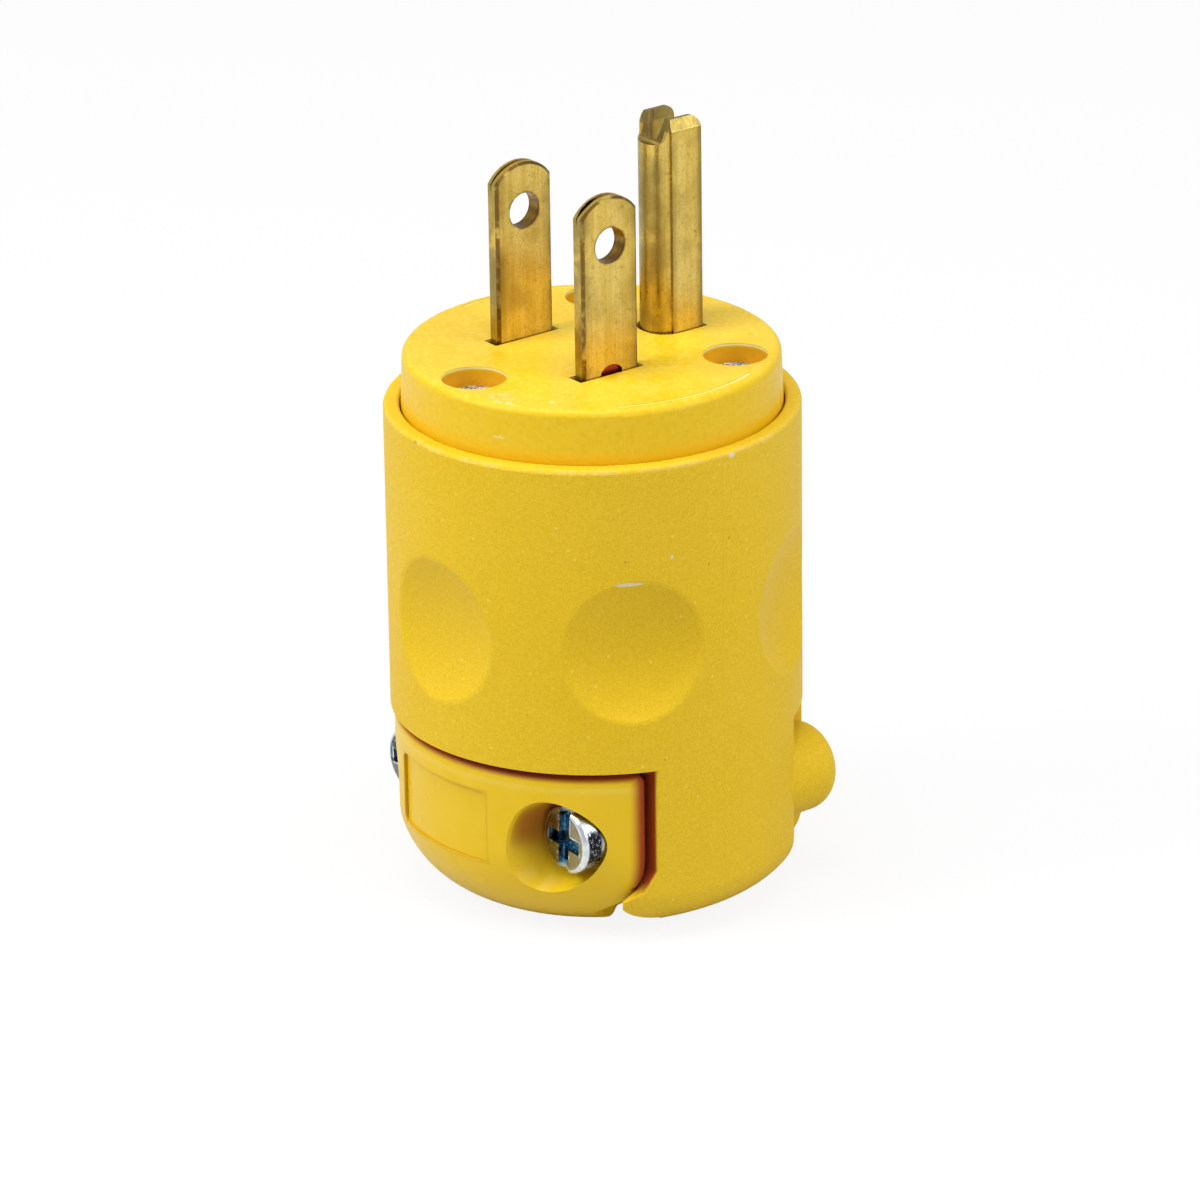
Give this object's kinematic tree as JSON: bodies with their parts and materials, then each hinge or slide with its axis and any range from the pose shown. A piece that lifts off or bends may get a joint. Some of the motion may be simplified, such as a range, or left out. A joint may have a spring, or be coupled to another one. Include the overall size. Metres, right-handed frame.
{
  "type": "power plug",
  "caption": "Yellow rewirable mains plug with flat blades, a folded ground pin, a round body with finger dimples and a screwed cord clamp.",
  "frame": {"origin": "centre of the bounding box at its lowest height, in the middle of the flat rear end", "axes": "+Z from the rear end to the tips of the blades, +X from the neutral blade to the hot blade, +Y from the blades to the ground pin"},
  "size_m": [0.0384, 0.0384, 0.0721],
  "materials": {
    "body_plastic": "fine grain",
    "face_plastic": "satin",
    "clamp_plastic": "smooth satin",
    "inner_plastic": "moulded",
    "contact_brass": "rolled, a little tarnished",
    "terminal_brass": "bright",
    "plated_steel": "nickel plated",
    "green_steel": "green finish",
    "dark_steel": "dull zinc",
    "zinc_steel": "bright zinc plate"
  },
  "bodies": {
    "root": {"rear_body": "body_plastic", "front_face": "face_plastic", "terminal_retainer": "inner_plastic", "cord_clamp": "clamp_plastic", "hot_blade": "contact_brass", "neutral_blade": "contact_brass", "ground_pin": "contact_brass", "hot_terminal_screw": "terminal_brass", "neutral_terminal_screw": "plated_steel", "ground_terminal_screw": "green_steel", "hot_pressure_plate": "terminal_brass", "neutral_pressure_plate": "plated_steel", "ground_pressure_plate": "terminal_brass", "face_screw_front": "dark_steel", "face_screw_right": "dark_steel", "face_screw_left": "dark_steel", "clamp_screw_right": "zinc_steel", "clamp_screw_left": "zinc_steel", "clamp_nut_right": "zinc_steel", "clamp_nut_left": "zinc_steel"}
  },
  "joints": []
}
